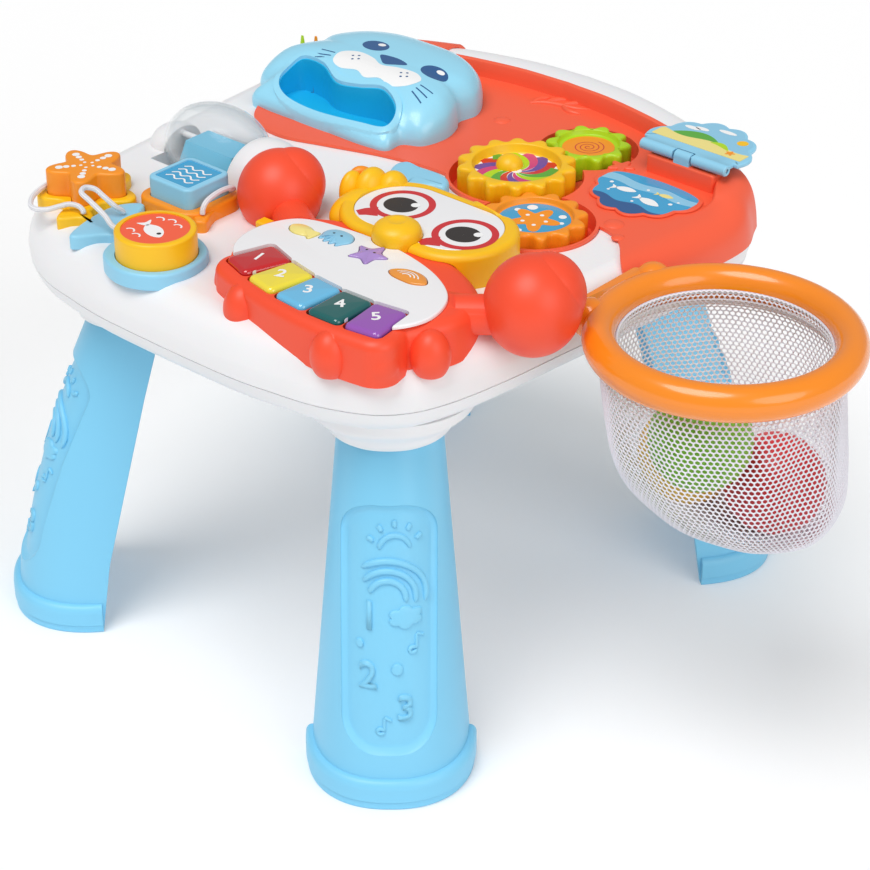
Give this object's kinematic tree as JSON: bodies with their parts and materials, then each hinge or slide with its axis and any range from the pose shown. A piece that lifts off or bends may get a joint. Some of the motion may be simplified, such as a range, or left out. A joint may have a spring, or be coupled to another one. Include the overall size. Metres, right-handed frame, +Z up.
{
  "type": "activity table",
  "caption": "Toddler activity table on four channel legs: piano crab, meshing gears, flip page, shape blocks on cords, rattle drum, seal tray and a net ball basket.",
  "frame": {"origin": "on the floor, under the middle of the box that holds the table without its cords", "axes": "+X to the child's right, where the basket hangs; +Y away from the child, to the raised arch; +Z up"},
  "size_m": [0.6558, 0.5084, 0.4047],
  "materials": {
    "white_plastic": "satin",
    "leg_blue": "satin",
    "coral_plastic": "satin",
    "pale_blue_plastic": "gloss",
    "white_gloss": "gloss",
    "key_red": "gloss",
    "key_yellow": "gloss",
    "key_blue": "gloss",
    "key_teal": "gloss",
    "key_purple": "gloss",
    "button_cream": "gloss",
    "button_blue": "gloss",
    "button_lilac": "gloss",
    "button_orange": "gloss",
    "yellow_plastic": "satin",
    "orange_plastic": "satin",
    "sky_blue_plastic": "satin",
    "lime_plastic": "satin",
    "pink_plastic": "satin",
    "hoop_orange": "gloss",
    "net_white": "open mesh",
    "cord_white": "braided",
    "ball_green": "soft satin",
    "ball_red": "soft satin",
    "ball_yellow": "soft satin",
    "print_blue": "printed gloss",
    "clear_drum": "clear",
    "paddle_blue": "gloss",
    "bead_red": "gloss",
    "steel": "zinc plated",
    "pad_rubber": "matt",
    "board_green": "matt",
    "speaker_black": "matt"
  },
  "bodies": {
    "base": {"top_shell": "white_plastic", "bottom_shell": "white_plastic", "leg_front_left": "leg_blue", "leg_front_right": "leg_blue", "leg_rear_left": "leg_blue", "leg_rear_right": "leg_blue", "upper_panel": "coral_plastic", "seal_head": "pale_blue_plastic", "crab_body": "coral_plastic", "crab_claw_left": "coral_plastic", "crab_claw_right": "coral_plastic", "crab_faceplate": "white_gloss", "diver_face": "yellow_plastic", "diver_mask": "white_gloss", "snorkel": "orange_plastic", "fin_wave": "pale_blue_plastic", "star_tray": "yellow_plastic", "square_tray": "orange_plastic", "round_tray": "sky_blue_plastic", "star_cord": "cord_white", "square_cord": "cord_white", "round_cord": "cord_white", "gear_axles": "white_plastic", "hinge_pin": "steel", "picture_window": "print_blue", "drum_axle": "white_plastic", "hoop_ring": "hoop_orange", "net_bag": "net_white", "fin_green": "lime_plastic", "fin_orange": "orange_plastic", "fin_pink": "pink_plastic", "switch_pads": "pad_rubber", "circuit_board": "board_green", "speaker": "speaker_black", "battery_door": "white_plastic", "door_screw": "steel", "claw_peg": "yellow_plastic"},
    "key_1": {"key_1": "key_red"},
    "key_2": {"key_2": "key_yellow"},
    "key_3": {"key_3": "key_blue"},
    "key_4": {"key_4": "key_teal"},
    "key_5": {"key_5": "key_purple"},
    "button_fish": {"button_fish": "button_cream"},
    "button_jelly": {"button_jelly": "button_blue"},
    "button_star": {"button_star": "button_lilac"},
    "button_shell": {"button_shell": "button_orange"},
    "nose_button": {"nose_button": "yellow_plastic"},
    "gear_yellow": {"gear_yellow": "yellow_plastic"},
    "gear_green": {"gear_green": "lime_plastic"},
    "gear_orange": {"gear_orange": "orange_plastic"},
    "flip_page": {"flip_page": "pale_blue_plastic"},
    "star_block": {"star_block": "orange_plastic"},
    "square_block": {"square_block": "pale_blue_plastic"},
    "round_block": {"round_block": "yellow_plastic"},
    "ball_green": {"ball_green": "ball_green"},
    "ball_red": {"ball_red": "ball_red"},
    "ball_yellow": {"ball_yellow": "ball_yellow"},
    "drum": {"rattle_drum": "clear_drum", "rattle_paddle": "paddle_blue", "rattle_bead": "bead_red"}
  },
  "joints": [
    {"name": "key_1_press", "type": "slide", "parent": "base", "child": "key_1", "axis": [0, 0, -1], "range_m": [0, 0.003], "stiffness_N_per_m": 200},
    {"name": "key_2_press", "type": "slide", "parent": "base", "child": "key_2", "axis": [0, 0, -1], "range_m": [0, 0.003], "stiffness_N_per_m": 200},
    {"name": "key_3_press", "type": "slide", "parent": "base", "child": "key_3", "axis": [0, 0, -1], "range_m": [0, 0.003], "stiffness_N_per_m": 200},
    {"name": "key_4_press", "type": "slide", "parent": "base", "child": "key_4", "axis": [0, 0, -1], "range_m": [0, 0.003], "stiffness_N_per_m": 200},
    {"name": "key_5_press", "type": "slide", "parent": "base", "child": "key_5", "axis": [0, 0, -1], "range_m": [0, 0.003], "stiffness_N_per_m": 200},
    {"name": "button_fish_press", "type": "slide", "parent": "base", "child": "button_fish", "axis": [0, 0, -1], "range_m": [0, 0.0015], "stiffness_N_per_m": 200},
    {"name": "button_jelly_press", "type": "slide", "parent": "base", "child": "button_jelly", "axis": [0, 0, -1], "range_m": [0, 0.0015], "stiffness_N_per_m": 200},
    {"name": "button_star_press", "type": "slide", "parent": "base", "child": "button_star", "axis": [0, 0, -1], "range_m": [0, 0.0015], "stiffness_N_per_m": 200},
    {"name": "button_shell_press", "type": "slide", "parent": "base", "child": "button_shell", "axis": [0, 0, -1], "range_m": [0, 0.0015], "stiffness_N_per_m": 200},
    {"name": "nose_press", "type": "slide", "parent": "base", "child": "nose_button", "axis": [0, 0, -1], "range_m": [0, 0.002], "stiffness_N_per_m": 200},
    {"name": "gear_yellow_spin", "type": "hinge", "parent": "base", "child": "gear_yellow", "pos_m": [-0.03096, 0.06858, 0.35], "axis": [0, 0, 1], "continuous": true},
    {"name": "gear_green_spin", "type": "hinge", "parent": "base", "child": "gear_green", "pos_m": [-0.01932, 0.14206, 0.35], "axis": [0, 0, 1], "continuous": true},
    {"name": "gear_orange_spin", "type": "hinge", "parent": "base", "child": "gear_orange", "pos_m": [0.02987, 0.0157, 0.35], "axis": [0, 0, 1], "continuous": true},
    {"name": "page_turn", "type": "hinge", "parent": "base", "child": "flip_page", "pos_m": [0.06962, 0.14478, 0.372], "axis": [1, 0, 0], "range_deg": [0, 158]},
    {"name": "drum_spin", "type": "hinge", "parent": "base", "child": "drum", "pos_m": [-0.22695, -0.05612, 0.36], "axis": [1, 0, 0], "continuous": true},
    {"name": "star_block_lift", "type": "slide", "parent": "base", "child": "star_block", "axis": [0, 0, 1], "range_m": [0, 0.06]},
    {"name": "square_block_lift", "type": "slide", "parent": "base", "child": "square_block", "axis": [0, 0, 1], "range_m": [0, 0.06]},
    {"name": "round_block_lift", "type": "slide", "parent": "base", "child": "round_block", "axis": [0, 0, 1], "range_m": [0, 0.06]},
    {"name": "ball_green_lift", "type": "slide", "parent": "base", "child": "ball_green", "axis": [0, 0, 1], "range_m": [0, 0.12]},
    {"name": "ball_red_lift", "type": "slide", "parent": "base", "child": "ball_red", "axis": [-0.117, 0.3214, 0.9397], "range_m": [0, 0.06]},
    {"name": "ball_yellow_lift", "type": "slide", "parent": "base", "child": "ball_yellow", "axis": [-0.4132, 0.4924, 0.766], "range_m": [0, 0.038]}
  ],
  "couplings": [
    {"joint": "gear_green_spin", "follows": "gear_yellow_spin", "ratio": -1.4},
    {"joint": "gear_orange_spin", "follows": "gear_yellow_spin", "ratio": -1.1667}
  ]
}
